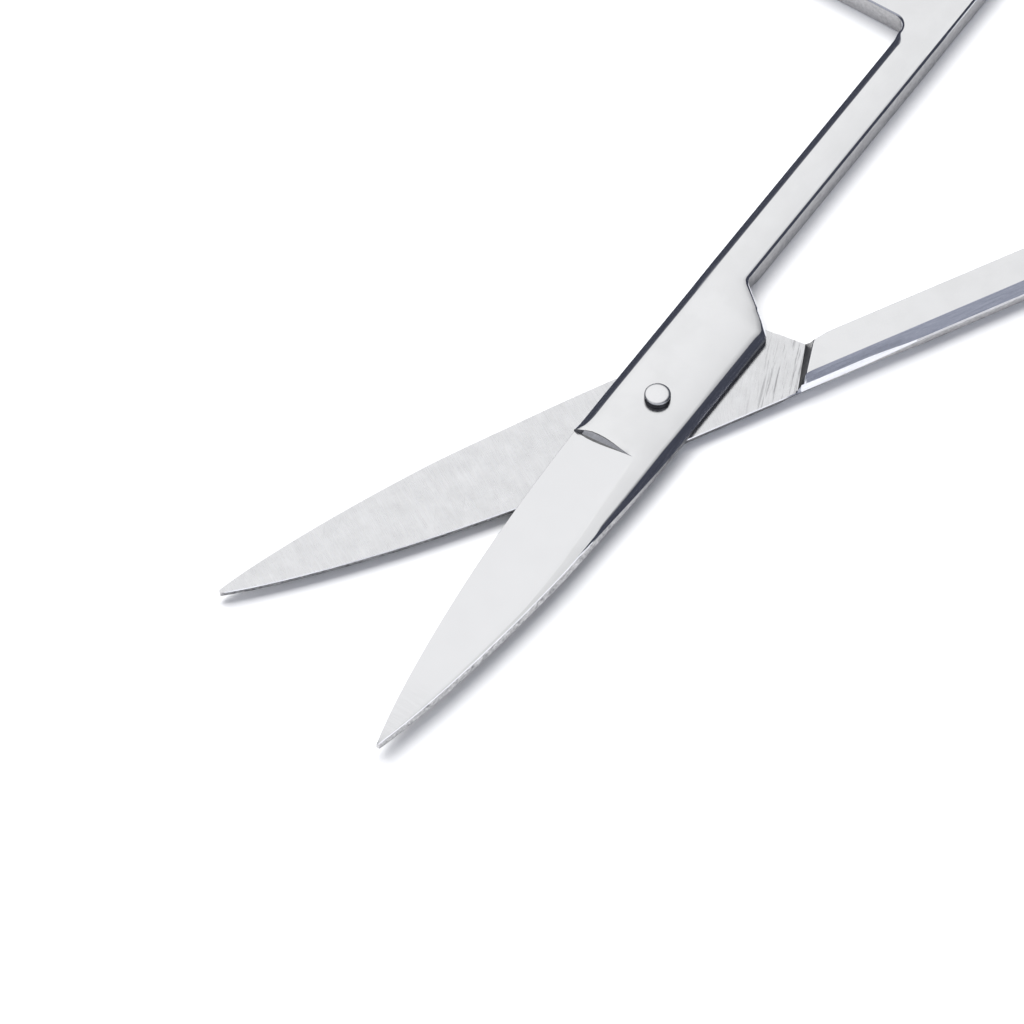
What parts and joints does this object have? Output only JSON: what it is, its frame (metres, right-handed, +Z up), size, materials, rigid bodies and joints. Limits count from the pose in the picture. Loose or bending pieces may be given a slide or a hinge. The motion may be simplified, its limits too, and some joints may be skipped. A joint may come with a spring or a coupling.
{
  "type": "cuticle scissors",
  "caption": "Straight-bladed stainless steel cuticle scissors with slim shanks, open finger bows and a riveted pivot.",
  "frame": {"origin": "on the pivot axis, in the plane the scissors lie on", "axes": "+X from the pivot towards the finger bows along the middle of the opening, +Z up out of the resting plane along the pivot axis, +Y towards the upper half's bow"},
  "size_m": [0.0846, 0.069, 0.0022],
  "materials": {
    "half_steel": "satin top, polished bevels, finely brushed mating faces",
    "rivet_steel": "turned and lightly polished"
  },
  "bodies": {
    "lower": {"lower_half": "half_steel", "pivot_rivet": "rivet_steel"},
    "upper": {"upper_half": "half_steel"}
  },
  "joints": [
    {"name": "blade_pivot", "type": "hinge", "parent": "lower", "child": "upper", "pos_m": [0, 0, 0.00088], "axis": [0, 0, 1], "range_deg": [-28.5, 61.5]}
  ]
}
